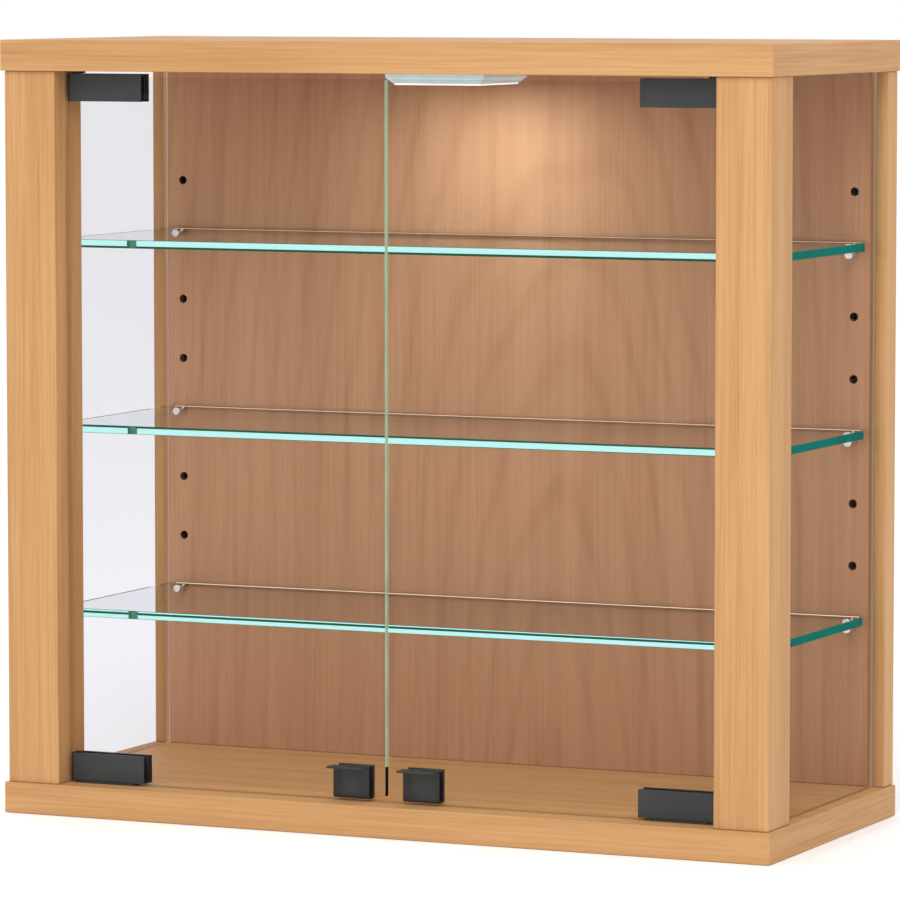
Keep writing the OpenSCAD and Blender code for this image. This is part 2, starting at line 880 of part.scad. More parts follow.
module lamp_housing() {
    color(LAMP_GREY) difference() {
        union() {
            square_slab(lamp_w, lamp_z0 + lamp_bevel, lamp_z1);
            translate([0, lamp_y, lamp_z0 + lamp_bevel]) mirror([0, 0, 1])
                linear_extrude(lamp_bevel, scale = lamp_face / lamp_w) square(lamp_w, center = true);
        }
        square_slab(lamp_hollow, lamp_z0 - over, lamp_z1 - lamp_top);
        translate([0, lamp_y, inlet_z]) {
            box([-inlet_w / 2 - drill_fit, 0, -inlet_h / 2 - drill_fit],
                [inlet_w / 2 + drill_fit, lamp_w, inlet_h / 2 + drill_fit]);
        }
        for (s = [-1, 1]) translate([s * lamp_screw_x, lamp_y, lamp_z1 - lamp_top]) mirror([0, 0, 1])
            flat_screw_hole(lamp_screw_d, lamp_screw_len, 2 * lamp_screw_d);
    }
}

module lamp_screws() {
    color(STEEL) for (s = [-1, 1]) translate([s * lamp_screw_x, lamp_y, lamp_z1 - lamp_top])
        mirror([0, 0, 1]) flat_screw(lamp_screw_d, lamp_screw_len, 2 * lamp_screw_d);
}

module lamp_diffuser() {
    color(LAMP_WHITE) {
        square_slab(lamp_face - 2 * diffuser_edge, lamp_z0 - diffuser_rim, lamp_z0);
        square_slab(spigot_w, lamp_z0 - diffuser_rim / 2, lamp_z0 + spigot_h);
    }
}

module lamp_board() {
    z1 = lamp_z1 - lamp_top;
    color(BOARD_WHITE) translate([-light_board_w / 2, lamp_y - light_board_l / 2, z1 - light_board_t])
        cube([light_board_w, light_board_l, light_board_t]);
}

module lamp_chips() {
    z1 = lamp_z1 - lamp_top - light_board_t;
    color(LAMP_WHITE) for (i = [-1 : 1], j = [-1 : 1])
        translate([i * chip_pitch - chip_w / 2, lamp_y + j * chip_pitch - chip_w / 2, z1 - chip_t])
            cube([chip_w, chip_w, chip_t]);
}

// Socket for the lamp's lead, let into the back wall of the housing
module lamp_inlet() {
    y1 = lamp_y + lamp_w / 2;
    color(BLACK) translate([0, 0, inlet_z]) {
        difference() {
            box([-inlet_w / 2, y1 - inlet_d, -inlet_h / 2], [inlet_w / 2, y1, inlet_h / 2]);
            box([-inlet_w / 2 + inlet_wall, y1 - inlet_d + 2 * inlet_wall, -inlet_h / 2 + inlet_wall],
                [inlet_w / 2 - inlet_wall, y1 + over, inlet_h / 2 - inlet_wall]);
        }
        for (s = [-1, 1]) translate([s * inlet_w / 5, 0, 0])
            rod_y(inlet_pin_d, y1 - inlet_d + inlet_wall, y1 - 2 * inlet_wall);
    }
}

top_board();
base_board();
back_board();
left_post();
right_post();
left_side_glass();
right_side_glass();
upper_shelf();
middle_shelf();
lower_shelf();
upper_shelf_supports();
middle_shelf_supports();
lower_shelf_supports();
post_dowels();
back_dowels();
top_screws();
base_screws();
screw_caps();
left_hanger_plate();
right_hanger_plate();
hanger_screws();
upper_left_pivot_bush();
lower_left_pivot_plate();
upper_right_pivot_bush();
lower_right_pivot_plate();
pivot_plate_screws();
lamp_housing();
lamp_diffuser();
lamp_board();
lamp_chips();
lamp_inlet();
lamp_screws();
left_door_glass();
upper_left_clip();
lower_left_clip();
left_pivot_pins();
left_clip_liners();
left_pressure_plates();
left_clamp_screws();
left_handle();
left_handle_liner();
right_door_glass();
upper_right_clip();
lower_right_clip();
right_pivot_pins();
right_clip_liners();
right_pressure_plates();
right_clamp_screws();
right_handle();
right_handle_liner();
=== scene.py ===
"""Wall display cabinet: the finish of its boards, panes, clamps, handles, lamp and fixings.

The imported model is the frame. Lengths are in metres, in the frame's own axes:
X to the right, Y to the back, Z up, the origin in the middle of the underside.
"""

import math

import bmesh
import bpy
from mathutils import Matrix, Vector


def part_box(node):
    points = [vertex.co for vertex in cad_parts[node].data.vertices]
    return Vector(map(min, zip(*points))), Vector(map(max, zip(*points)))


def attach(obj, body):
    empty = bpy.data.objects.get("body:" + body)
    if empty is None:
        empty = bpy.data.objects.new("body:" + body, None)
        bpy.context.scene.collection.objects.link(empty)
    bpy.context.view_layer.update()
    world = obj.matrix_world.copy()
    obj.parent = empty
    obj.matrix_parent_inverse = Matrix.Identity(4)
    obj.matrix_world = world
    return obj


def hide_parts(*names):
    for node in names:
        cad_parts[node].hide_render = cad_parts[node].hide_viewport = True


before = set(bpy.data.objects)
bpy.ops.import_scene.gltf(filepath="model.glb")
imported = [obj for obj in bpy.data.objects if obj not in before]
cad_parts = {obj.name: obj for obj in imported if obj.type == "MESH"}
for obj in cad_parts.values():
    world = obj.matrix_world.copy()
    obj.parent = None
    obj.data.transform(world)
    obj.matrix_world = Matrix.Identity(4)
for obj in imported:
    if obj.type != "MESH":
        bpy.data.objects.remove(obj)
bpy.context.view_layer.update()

MM = 0.001
SIDES = ("left", "right")
ENDS = ("upper", "lower")
SHELVES = ("upper_shelf", "middle_shelf", "lower_shelf")

# Camera, with its turn and dip in degrees and its focal length in pixels of the photograph
CAMERA_PLACE = (1.6763, -3.6947, 0.6146)
CAMERA_TURN = 24.397
CAMERA_DIP = 4.895
CAMERA_REACH = 400
SENSOR = 36.0
FRAME_PIXELS = 900
FOCAL_PIXELS = 5594.4

# Cleaning a mesh: how near is the same place, how flat is one face, and how sharp is an edge
WELD = 1e-6
NEAR = 10 * WELD
FLAT = math.radians(0.5)
SHARP = math.radians(38)

# Rounding of the wood and metal, and bevels of the glass
BOARD_ROUND = 0.8 * MM
POST_ROUND = 0.9 * MM
METAL_ROUND = 0.35 * MM
PLATE_ROUND = 0.2 * MM
SIDE_ARRIS = 0.5 * MM
DOOR_ARRIS = 0.12 * MM
SHELF_REAR_ARRIS = 0.85 * MM
SHELF_FRONT_ARRIS = 0.3 * MM

# How nearly a face looks along an axis, as the part of its normal along it
STRAIGHT = 0.95
SQUARE = 0.9
MOSTLY = 0.6
ASKEW = 0.3
RAISED = 0.2

# Telling faces and edges apart by their places
LONG_EDGE = 100 * MM
BORE_INSET = 0.2 * MM
OUTER_INSET = 0.05 * MM

# Handle
SHEET = 1.2 * MM
LINER = 0.3 * MM
LIP_BEND = 1.6 * MM
BEND_STEPS = 6

# Colours of the beech, as light that it gives back
BEECH_LIGHT = (0.550, 0.308, 0.137, 1)
BEECH_DARK = (0.415, 0.207, 0.078, 1)
# Painted shade: the back board between the panes is a darker copy of the beech, for the shade inside the
# cabinet
BEECH_PAINTED_SHADE_LIGHT = (0.460, 0.246, 0.139, 1)
BEECH_PAINTED_SHADE_DARK = (0.338, 0.160, 0.081, 1)
# Painted shade: the bores are near black, for the shade inside the holes
BORE_PAINTED_SHADE_LIGHT = (0.080, 0.036, 0.014, 1)
BORE_PAINTED_SHADE_DARK = (0.050, 0.020, 0.008, 1)
FLECK_COLOUR = (0.62, 0.52, 0.42, 1)

# Patterns in the beech, as scales across and along its grain
BANDS = (60, 60, 1.4)
STREAKS = (520, 520, 9)
FLECKS = (1500, 1500, 190)
WARP = (7, 7, 3.0)
GROWTH = (1, 1, 0.20)
GROWTH_PUSH = (0.045, 0.045, 0.045)
GROWTH_RINGS = 16.0

# What of each pattern counts, and how much it darkens the wood
BAND_RANGE = (0.33, 0.66)
BAND_TONE = (0.0, 0.55)
STREAK_RANGE = (0.36, 0.66)
STREAK_TONE = (-0.12, 0.42)
FLECK_RANGE = (0.60, 0.72)
FLECK_TONE = (0.0, 0.12)
LINE_RANGE = (0.72, 1.0)
SATIN_RANGE = (0.3, 0.7)
SATIN = (0.42, 0.56)
BEECH_RELIEF = 0.05 * MM

# Turns of the beech, whose grain runs along Z, to another axis, and the place of the back board in it
GRAIN = {"X": (0, math.pi / 2, 0), "Y": (math.pi / 2, 0, 0), "Z": (0, 0, 0)}
BACK_SHIFT = (-0.06, -0.14, 0.02)

# Clear glass: what its faces and its depth do to light, and the share of its mirror that stays
GLASS_TINT = (0.897, 0.886, 0.910, 1)
GLASS_TINT_ONCE = (0.943, 0.941, 0.953, 1)
GLASS_TAKES = (0.20, 0.69, 0.63, 1)
GLASS_DENSITY = 6.0
GLASS_FILM = (0.0, 0.003)
PANE_PASSES = (0.985, 0.985, 0.985, 1)
SHELF_PASSES = (0.99, 0.995, 0.993, 1)
DOOR_SHINE = 0.08
SIDE_SHINE = 0.05
SHELF_SHINE = 0.05

# How clear glass bends light: a thin pane not at all, but it mirrors as float glass does
PANE_BENDS = 1.0
FLOAT_BENDS = 1.5
SHELF_BENDS = 1.42

# Mirrors inside a shelf: the share at which light is held in, how many are followed, and the painted teal
# glow that is then seen
HELD_IN = (0.9, 1.0)
INNER_MIRRORS = 3.5
GLASS_DEEP_PAINTED_GLOW = (0.030, 0.230, 0.180, 1)

# Edges of the glass: tones from outside, with painted reflections, and painted glows that stand in for the
# light that ground edges gather
EDGE_TEAL = (0.006, 0.170, 0.130, 1)
EDGE_DOOR = (0.30, 0.40, 0.29, 1)
# Painted reflection: the door edge is near black beside the handle, where it would show the black handle
# inside the glass
EDGE_PAINTED_HANDLE_REFLECTION = (0.006, 0.008, 0.007, 1)
# Painted reflection: the tone of the wood around the doors' top and bottom edges and the bedded edges
EDGE_PAINTED_WOOD = (0.30, 0.19, 0.10, 1)
EDGE_CLOUD = (0.80, 0.80, 0.80)
EDGE_POLISH = (0.15, 0.3)
EDGE_SHINE = 0.05
EDGE_PASSES = (0.99, 0.995, 0.993, 1)
# Painted glow that brightens the door's upright edge
DOOR_EDGE_PAINTED_GLEAM = 0.55
# Painted glows seen from inside the glass: the shelf's rear edge, rear corners and rear arrises, and the side
# panes' bedded edges, lighter on the left
REAR_PAINTED_GLOW = (1.0, 1.0, 1.0, 1)
CORNER_PAINTED_GLOW = (0.13, 0.24, 0.20, 1)
ARRIS_PAINTED_GLOW = (0.050, 0.150, 0.120, 1)
BED_PAINTED_GLOW = {"left": (0.300, 0.225, 0.165, 1), "right": (0.200, 0.145, 0.095, 1)}
PAINTED_GLOW_STRENGTH = 1.6
# The painted warmer tint of those glows where they are seen aslant
ASLANT_RANGE = (0.10, 0.28)
ASLANT_PAINTED_TINT = (0.95, 0.62, 0.42)

# Fine marks: their scales, what of them counts, and how much rougher they make a coat
PANE_GRIT = 240.0
EDGE_GRIT = 900.0
MILKY_GRIT = 700.0
CLOUD_SCALE = 38.0
CLOUD_RANGE = (0.35, 0.7)
SPECK_RANGE = (0.62, 0.72)
MARKED = 0.08

# The whole range of a mask
WHOLE = (0.0, 1.0)

# Lamp: its colours, how its face falls off to the rim, and the light under it
LAMP_WARM = (1.0, 0.90, 0.84, 1)
LAMP_CHIP = (1.0, 0.85, 0.55, 1)
LAMP_RADIUS = 50 * MM
LAMP_RIM = 0.72
LAMP_MATT = (0.42, 0.5)
LAMP_LIGHT = (0.86, 1.0, 0.96)
LAMP_POWER = 0.44
LAMP_MARGIN = 4 * MM
LAMP_DROP = 1 * MM

# Studio: the floor, the even light of the room, and where the two soft lights are and aim
FLOOR_REACH = 120.0
FLOOR_DROP = 0.2 * MM
SKY_POWER = 1.03
AIM = (0, 0, 0.3)
TOP_LIGHT = {"at": (0.0, -0.6, 3.2), "size": 3.0, "power": 5}
FRONT_LIGHT = {"at": (0.9, -3.0, 3.0), "size": 1.8, "power": 66}

# Inputs and output of a colour mix, by their numbers
FACTOR, FIRST, SECOND, MIXED = 0, 6, 7, 2


def grey(level):
    """A neutral colour"""
    return (level, level, level, 1)


def dimmed(colour, shares):
    """A colour with a share of its red, green and blue"""
    return tuple(c * share for c, share in zip(colour, shares)) + (1,)


# Shader nodes

def feed(tree, node, inputs):
    """Gives each input its value, or links it to the output that is given"""
    for entry, value in inputs.items():
        if isinstance(value, bpy.types.NodeSocket):
            tree.links.new(value, node.inputs[entry])
        else:
            node.inputs[entry].default_value = value


def add(tree, kind, inputs=None, **settings):
    """A new node with its settings and inputs"""
    node = tree.nodes.new(kind)
    for name, value in settings.items():
        setattr(node, name, value)
    feed(tree, node, inputs or {})
    return node


def spread(tree, source, given, wanted=WHOLE):
    """The values of the given range over the wanted one"""
    node = add(tree, "ShaderNodeMapRange", {"Value": source, "From Min": given[0], "From Max": given[1],
                                            "To Min": wanted[0], "To Max": wanted[1]})
    return node.outputs["Result"]


def maths(tree, kind, *terms, clamped=False):
    """A sum, product or comparison of its terms"""
    node = add(tree, "ShaderNodeMath", dict(enumerate(terms)), operation=kind, use_clamp=clamped)
    return node.outputs["Value"]


def mix_colours(tree, share, first, second, kind="MIX"):
    """The first colour where the share is 0, the second where it is 1"""
    node = add(tree, "ShaderNodeMix", {FACTOR: share, FIRST: first, SECOND: second},
               data_type="RGBA", blend_type=kind)
    return node.outputs[MIXED]


def mix_shaders(tree, share, first, second):
    """The first shader where the share is 0, the second where it is 1"""
    node = add(tree, "ShaderNodeMixShader", {0: share, 1: first, 2: second})
    return node.outputs["Shader"]


def place(tree, turn=(0, 0, 0), shift=(0, 0, 0)):
    """Object coordinates, turned and shifted"""
    where = add(tree, "ShaderNodeTexCoord").outputs["Object"]
    mapping = add(tree, "ShaderNodeMapping", {"Vector": where, "Rotation": turn, "Location": shift})
    return mapping.outputs["Vector"]


def stretched_noise(tree, where, scale, detail, rough=0.5):
    """Noise on coordinates that are scaled by themselves along each axis"""
    mapping = add(tree, "ShaderNodeMapping", {"Vector": where, "Scale": scale})
    return add(tree, "ShaderNodeTexNoise", {"Vector": mapping.outputs["Vector"], "Scale": 1.0,
                                            "Detail": detail, "Roughness": rough})


def bump(tree, height, depth, strength=0.3):
    """The normal of a surface with a fine relief"""
    node = add(tree, "ShaderNodeBump", {"Height": height, "Strength": strength, "Distance": depth})
    return node.outputs["Normal"]


def shader_group(name, inputs, outputs):
    """An empty node group with its entry and exit; inputs are (name, kind, value), outputs (name, kind)"""
    tree = bpy.data.node_groups.new(name, "ShaderNodeTree")
    for label, kind, value in inputs:
        socket = tree.interface.new_socket(label, in_out="INPUT", socket_type=kind)
        if value is not None:
            socket.default_value = value
    for label, kind in outputs:
        tree.interface.new_socket(label, in_out="OUTPUT", socket_type=kind)
    return tree, tree.nodes.new("NodeGroupInput"), tree.nodes.new("NodeGroupOutput")


# Patterns

def beech_group():
    """Beech with its grain along Z: broad bands, fine streaks, short flecks and thin growth lines"""
    tree, entry, leave = shader_group(
        "beech_grain",
        [("Vector", "NodeSocketVector", None), ("Light", "NodeSocketColor", BEECH_LIGHT),
         ("Dark", "NodeSocketColor", BEECH_DARK), ("Contrast", "NodeSocketFloat", 1.0),
         ("Lines", "NodeSocketFloat", 0.0)],
        [("Color", "NodeSocketColor"), ("Roughness", "NodeSocketFloat"), ("Height", "NodeSocketFloat")])
    where = entry.outputs["Vector"]
    bands = stretched_noise(tree, where, BANDS, detail=2.0)
    streaks = stretched_noise(tree, where, STREAKS, detail=3.0, rough=0.6)
    flecks = stretched_noise(tree, where, FLECKS, detail=2.0, rough=0.4)
    warp = stretched_noise(tree, where, WARP, detail=2.0)
    grown = add(tree, "ShaderNodeMapping", {"Vector": where, "Scale": GROWTH})
    pushed = add(tree, "ShaderNodeVectorMath",
                 {0: warp.outputs["Color"], 1: GROWTH_PUSH, 2: grown.outputs["Vector"]},
                 operation="MULTIPLY_ADD")
    rings = add(tree, "ShaderNodeTexWave",
                {"Vector": pushed.outputs["Vector"], "Scale": GROWTH_RINGS, "Distortion": 0.8,
                 "Detail": 2.0, "Detail Scale": 1.4},
                wave_type="RINGS", rings_direction="SPHERICAL", wave_profile="SIN")
    band_part = spread(tree, bands.outputs["Fac"], BAND_RANGE, BAND_TONE)
    streak_part = spread(tree, streaks.outputs["Fac"], STREAK_RANGE, STREAK_TONE)
    lines = spread(tree, rings.outputs["Fac"], LINE_RANGE)
    line_part = maths(tree, "MULTIPLY", lines, entry.outputs["Lines"])
    grain = maths(tree, "ADD", band_part, streak_part)
    grain_part = maths(tree, "MULTIPLY", grain, entry.outputs["Contrast"])
    darkness = maths(tree, "ADD", grain_part, line_part, clamped=True)
    tone = mix_colours(tree, darkness, entry.outputs["Light"], entry.outputs["Dark"])
    fleck_part = spread(tree, flecks.outputs["Fac"], FLECK_RANGE, FLECK_TONE)
    feed(tree, leave, {"Color": mix_colours(tree, fleck_part, tone, FLECK_COLOUR, "MULTIPLY"),
                       "Roughness": spread(tree, streaks.outputs["Fac"], SATIN_RANGE, SATIN),
                       "Height": maths(tree, "SUBTRACT", 1.0, fleck_part)})
    return tree


def marks_group():
    """Fine dust and handling marks as masks, for the metals, plastics and glass edges"""
    tree, entry, leave = shader_group(
        "fine_marks", [("Vector", "NodeSocketVector", None), ("Size", "NodeSocketFloat", 400.0)],
        [("Cloud", "NodeSocketFloat"), ("Specks", "NodeSocketFloat"), ("Height", "NodeSocketFloat")])
    where = entry.outputs["Vector"]
    cloud = add(tree, "ShaderNodeTexNoise", {"Vector": where, "Scale": CLOUD_SCALE, "Detail": 3.0})
    grit = add(tree, "ShaderNodeTexNoise", {"Vector": where, "Scale": entry.outputs["Size"],
                                            "Detail": 2.0, "Roughness": 0.6})
    feed(tree, leave, {"Cloud": spread(tree, cloud.outputs["Fac"], CLOUD_RANGE),
                       "Specks": spread(tree, grit.outputs["Fac"], SPECK_RANGE),
                       "Height": grit.outputs["Fac"]})
    return tree


BEECH_GRAIN = beech_group()
FINE_MARKS = marks_group()


def fine_marks(tree, where, size):
    """The masks of the fine marks, with grit of one size"""
    return add(tree, "ShaderNodeGroup", {"Vector": where, "Size": size}, node_tree=FINE_MARKS).outputs


# Materials

def new_material(name):
    """A material, its tree and the tree's output, with nothing else in it"""
    material = bpy.data.materials.new(name)
    material.use_nodes = True
    tree = material.node_tree
    tree.nodes.clear()
    return material, tree, tree.nodes.new("ShaderNodeOutputMaterial")


def beech(name, grain, shift, light=BEECH_LIGHT, dark=BEECH_DARK, contrast=1.0, lines=0.0):
    """Beech with a satin finish, its grain along X, Y or Z"""
    material, tree, out = new_material(name)
    figure = add(tree, "ShaderNodeGroup",
                 {"Vector": place(tree, GRAIN[grain], shift), "Light": light, "Dark": dark,
                  "Contrast": contrast, "Lines": lines}, node_tree=BEECH_GRAIN)
    shader = add(tree, "ShaderNodeBsdfPrincipled",
                 {"Base Color": figure.outputs["Color"], "Roughness": figure.outputs["Roughness"],
                  "Normal": bump(tree, figure.outputs["Height"], BEECH_RELIEF, strength=0.25),
                  "IOR": 1.45, "Specular IOR Level": 0.13})
    feed(tree, out, {"Surface": shader.outputs["BSDF"]})
    return material


def coated(name, light, dark, rough, metal=0.0, grit=900.0, depth=0.03 * MM, painted_gleam=0.0):
    """A coated, plated or moulded surface with fine grit and faint marks. Its last argument, when given, adds
    a painted glow: light of its own, though the part is no lamp
    """
    material, tree, out = new_material(name)
    marks = fine_marks(tree, place(tree), grit)
    tone = mix_colours(tree, marks["Cloud"], light, dark)
    shader = add(tree, "ShaderNodeBsdfPrincipled",
                 {"Base Color": tone, "Metallic": metal, "Specular IOR Level": 0.4,
                  "Roughness": spread(tree, marks["Cloud"], WHOLE, (rough, rough + MARKED)),
                  "Normal": bump(tree, marks["Height"], depth)})
    if painted_gleam:
        feed(tree, shader, {"Emission Color": tone, "Emission Strength": painted_gleam})
    feed(tree, out, {"Surface": shader.outputs["BSDF"]})
    return material


def lit(name, colour, strength, middle):
    """A milky surface lit from behind, brightest in the middle"""
    material, tree, out = new_material(name)
    where = place(tree, shift=tuple(-c for c in middle))
    marks = fine_marks(tree, where, MILKY_GRIT)
    distance = add(tree, "ShaderNodeVectorMath", {0: where}, operation="LENGTH").outputs["Value"]
    fall = spread(tree, distance, (0.0, LAMP_RADIUS), (1.0, LAMP_RIM))
    shader = add(tree, "ShaderNodeBsdfPrincipled",
                 {"Base Color": grey(0.85), "Roughness": spread(tree, marks["Cloud"], WHOLE, LAMP_MATT),
                  "Emission Color": mix_colours(tree, 1.0, colour, fall, "MULTIPLY"),
                  "Emission Strength": strength})
    feed(tree, out, {"Surface": shader.outputs["BSDF"]})
    return material


def only_glowing(tree, colour, strength):
    """A shader that gives light and gives none back"""
    shader = add(tree, "ShaderNodeBsdfPrincipled",
                 {"Base Color": grey(0.0), "Roughness": 1.0, "Specular IOR Level": 0.0,
                  "Emission Color": colour, "Emission Strength": strength})
    return shader.outputs["BSDF"]


def let_through(tree, seen, passes):
    """The shader for what is seen, and straight clear glass for rays from lamps and walls"""
    passing = add(tree, "ShaderNodeBsdfTransparent", {"Color": passes}).outputs["BSDF"]
    ray = add(tree, "ShaderNodeLightPath").outputs
    straight = maths(tree, "MAXIMUM", ray["Is Shadow Ray"], ray["Is Diffuse Ray"])
    return mix_shaders(tree, straight, seen, passing)


def thin_glass(tree, marks, kept, passes):
    """A thin pane, which shifts nothing that is seen through it. Its outer side keeps part of its mirror"""
    clear = add(tree, "ShaderNodeBsdfRefraction",
                {"Color": GLASS_TINT_ONCE, "Roughness": 0.0, "IOR": PANE_BENDS}).outputs["BSDF"]
    mirror = add(tree, "ShaderNodeBsdfGlossy",
                 {"Color": grey(1.0), "Roughness": spread(tree, marks["Cloud"], WHOLE, GLASS_FILM)})
    fresnel = add(tree, "ShaderNodeFresnel", {"IOR": FLOAT_BENDS}).outputs["Fac"]
    inner = add(tree, "ShaderNodeNewGeometry").outputs["Backfacing"]
    outer = maths(tree, "SUBTRACT", 1.0, inner)
    share = maths(tree, "MULTIPLY", maths(tree, "MULTIPLY", fresnel, kept), outer)
    return let_through(tree, mix_shaders(tree, share, clear, mirror.outputs["BSDF"]), passes)


def thick_glass(tree, marks, kept, passes):
    """Thick float glass. It keeps a share of its mirror, and all of the light that can't leave it.
    Where light has gone to and fro in it more than three times, a painted teal glow stands in for the glass's
    own depth"""
    full = add(tree, "ShaderNodeBsdfPrincipled",
               {"Base Color": GLASS_TINT, "Roughness": spread(tree, marks["Cloud"], WHOLE, GLASS_FILM),
                "IOR": SHELF_BENDS, "Transmission Weight": 1.0, "Metallic": 0.0}).outputs["BSDF"]
    clear = add(tree, "ShaderNodeBsdfRefraction",
                {"Color": GLASS_TINT_ONCE, "Roughness": 0.0, "IOR": SHELF_BENDS}).outputs["BSDF"]
    fresnel = add(tree, "ShaderNodeFresnel", {"IOR": SHELF_BENDS}).outputs["Fac"]
    shine = mix_shaders(tree, spread(tree, fresnel, HELD_IN, (kept, 1.0)), clear, full)
    mirrors = add(tree, "ShaderNodeLightPath").outputs["Glossy Depth"]
    lost = maths(tree, "GREATER_THAN", mirrors, INNER_MIRRORS)
    seen = mix_shaders(tree, lost, shine, only_glowing(tree, GLASS_DEEP_PAINTED_GLOW, strength=1.0))
    return let_through(tree, seen, passes)


def glass_body(tree):
    """What a depth of the glass takes out of the light"""
    body = add(tree, "ShaderNodeVolumeAbsorption", {"Color": GLASS_TAKES, "Density": GLASS_DENSITY})
    return body.outputs["Volume"]


def clear_glass(name, made, kept, passes):
    """The large faces of a pane, with the share kept of their mirror and the light that a shadow gets"""
    material, tree, out = new_material(name)
    marks = fine_marks(tree, place(tree), PANE_GRIT)
    feed(tree, out, {"Surface": made(tree, marks, kept, passes)})
    if made is thick_glass:
        feed(tree, out, {"Volume": glass_body(tree)})
    return material


def band_mask(tree, where, axis, middle, half):
    """1 within half of middle along an axis, 0 beyond"""
    parts = add(tree, "ShaderNodeSeparateXYZ", {"Vector": where})
    return maths(tree, "COMPARE", parts.outputs[axis], middle, half)


def painted_edge_glow(tree, glow):
    """A painted glow in place of the light that a ground edge gathers, seen from inside the glass and painted
    warmer when seen aslant
    """
    facing = add(tree, "ShaderNodeLayerWeight", {"Blend": 0.5}).outputs["Facing"]
    aslant = spread(tree, facing, ASLANT_RANGE)
    return only_glowing(tree, mix_colours(tree, aslant, glow, dimmed(glow, ASLANT_PAINTED_TINT)), PAINTED_GLOW_STRENGTH)


def glass_edge(name, light, band=None, glow=None, painted_gleam=0.0, made=thick_glass):
    """The edge of a pane. From outside it has a cloudy tone and, with band, a painted dark stretch, a painted
    reflection (axis, middle, half, colour); from inside it is clear or, with glow, shows a painted glow in
    place of the light that a ground edge gathers"""
    material, tree, out = new_material(name)
    where = place(tree)
    marks = fine_marks(tree, where, EDGE_GRIT)
    tone = mix_colours(tree, marks["Cloud"], light, dimmed(light, EDGE_CLOUD))
    if band is not None:
        axis, middle, half, dark = band
        tone = mix_colours(tree, band_mask(tree, where, axis, middle, half), tone, dark)
    outside = add(tree, "ShaderNodeBsdfPrincipled",
                  {"Base Color": tone, "Roughness": spread(tree, marks["Specks"], WHOLE, EDGE_POLISH),
                   "IOR": FLOAT_BENDS, "Specular IOR Level": 0.0})
    # Painted glow on the edge's outer side, though the glass is no lamp
    if painted_gleam:
        feed(tree, outside, {"Emission Color": tone, "Emission Strength": painted_gleam})
    if glow is None:
        inside = made(tree, marks, EDGE_SHINE, EDGE_PASSES)
    else:
        inside = painted_edge_glow(tree, glow)
    from_inside = add(tree, "ShaderNodeNewGeometry").outputs["Backfacing"]
    feed(tree, out, {"Surface": mix_shaders(tree, from_inside, outside.outputs["BSDF"], inside)})
    if made is thick_glass:
        feed(tree, out, {"Volume": glass_body(tree)})
    return material


# Shapes

def merged_copy(node):
    """A CAD node's mesh with its loose triangles joined and its flat faces whole"""
    bm = bmesh.new()
    bm.from_mesh(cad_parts[node].data)
    bmesh.ops.remove_doubles(bm, verts=bm.verts, dist=WELD)
    bmesh.ops.dissolve_limit(bm, angle_limit=FLAT, verts=bm.verts, edges=bm.edges)
    return bm


def round_edges(bm, edges, radius, segments):
    """Rounds the edges, or with one segment bevels them"""
    bmesh.ops.bevel(bm, geom=edges, offset=radius, offset_type="OFFSET", segments=segments,
                    profile=0.5, affect="EDGES", material=-1, clamp_overlap=True)


def sharp_edges(bm):
    """The edges at which two faces meet at more than a slight angle"""
    return [e for e in bm.edges if len(e.link_faces) == 2 and e.calc_face_angle(0) > SHARP]


def on_outline(edge, low, high):
    """True for an edge that lies on one of the twelve edges of a box"""
    a, b = (v.co for v in edge.verts)
    shared = 0
    for i in range(3):
        for level in (low[i], high[i]):
            shared += abs(a[i] - level) < NEAR and abs(b[i] - level) < NEAR
    return shared >= 2


def give_slots(bm, slot_of):
    """Gives each face the material slot that slot_of names for it"""
    for face in bm.faces:
        face.material_index = slot_of(face)


def piece(bm, name, body, materials, node, smooth=True, even=True):
    """Makes the object that takes a CAD node's place, dresses it, and hands it to its body"""
    mesh = bpy.data.meshes.new(name)
    bm.to_mesh(mesh)
    bm.free()
    for material in materials:
        mesh.materials.append(material)
    obj = bpy.data.objects.new(name, mesh)
    bpy.context.scene.collection.objects.link(obj)
    if smooth:
        mesh.shade_smooth()
        mesh.set_sharp_from_angle(angle=SHARP)
    if even:
        shading = obj.modifiers.new("even_shading", "WEIGHTED_NORMAL")
        shading.keep_sharp = True
    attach(obj, body)
    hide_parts(node)
    return obj


def dress(node, material):
    """Gives a CAD node that stays as it is its finish"""
    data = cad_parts[node].data
    data.materials.clear()
    data.materials.append(material)


def board(node, materials, radius, slot_of=None):
    """A wooden part: the CAD mesh with rounded outer edges"""
    bm = merged_copy(node)
    low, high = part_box(node)
    round_edges(bm, [e for e in bm.edges if on_outline(e, low, high)], radius, segments=3)
    if slot_of is not None:
        give_slots(bm, slot_of)
    piece(bm, node + "_wood", "carcass", materials, node)


def small_part(node, name, body, materials, radius=PLATE_ROUND, segments=2, slot_of=None):
    """A small part: the CAD mesh with its sharp edges eased"""
    bm = merged_copy(node)
    if slot_of is not None:
        give_slots(bm, slot_of)
    round_edges(bm, sharp_edges(bm), radius, segments)
    piece(bm, name, body, materials, node)


def pane(node, name, body, materials, slot_of, eased, cuts=()):
    """A pane with bevelled arrises. eased lists (test of an edge, arris), and cuts lists the planes
    (point, normal) that part its faces"""
    bm = merged_copy(node)
    for point, across in cuts:
        bmesh.ops.bisect_plane(bm, geom=bm.verts[:] + bm.edges[:] + bm.faces[:], plane_co=point,
                               plane_no=across)
    for test, arris in eased:
        round_edges(bm, [e for e in sharp_edges(bm) if test(e)], arris, segments=1)
    give_slots(bm, slot_of)
    piece(bm, name, body, materials, node, smooth=False, even=False)


# Tests of edges, and slots of faces

def any_edge(edge):
    """True, where all edges of a pane are alike"""
    return True


def long_edge(edge):
    """True for an edge along the length of a shelf"""
    a, b = (v.co for v in edge.verts)
    return abs(a.x - b.x) > LONG_EDGE


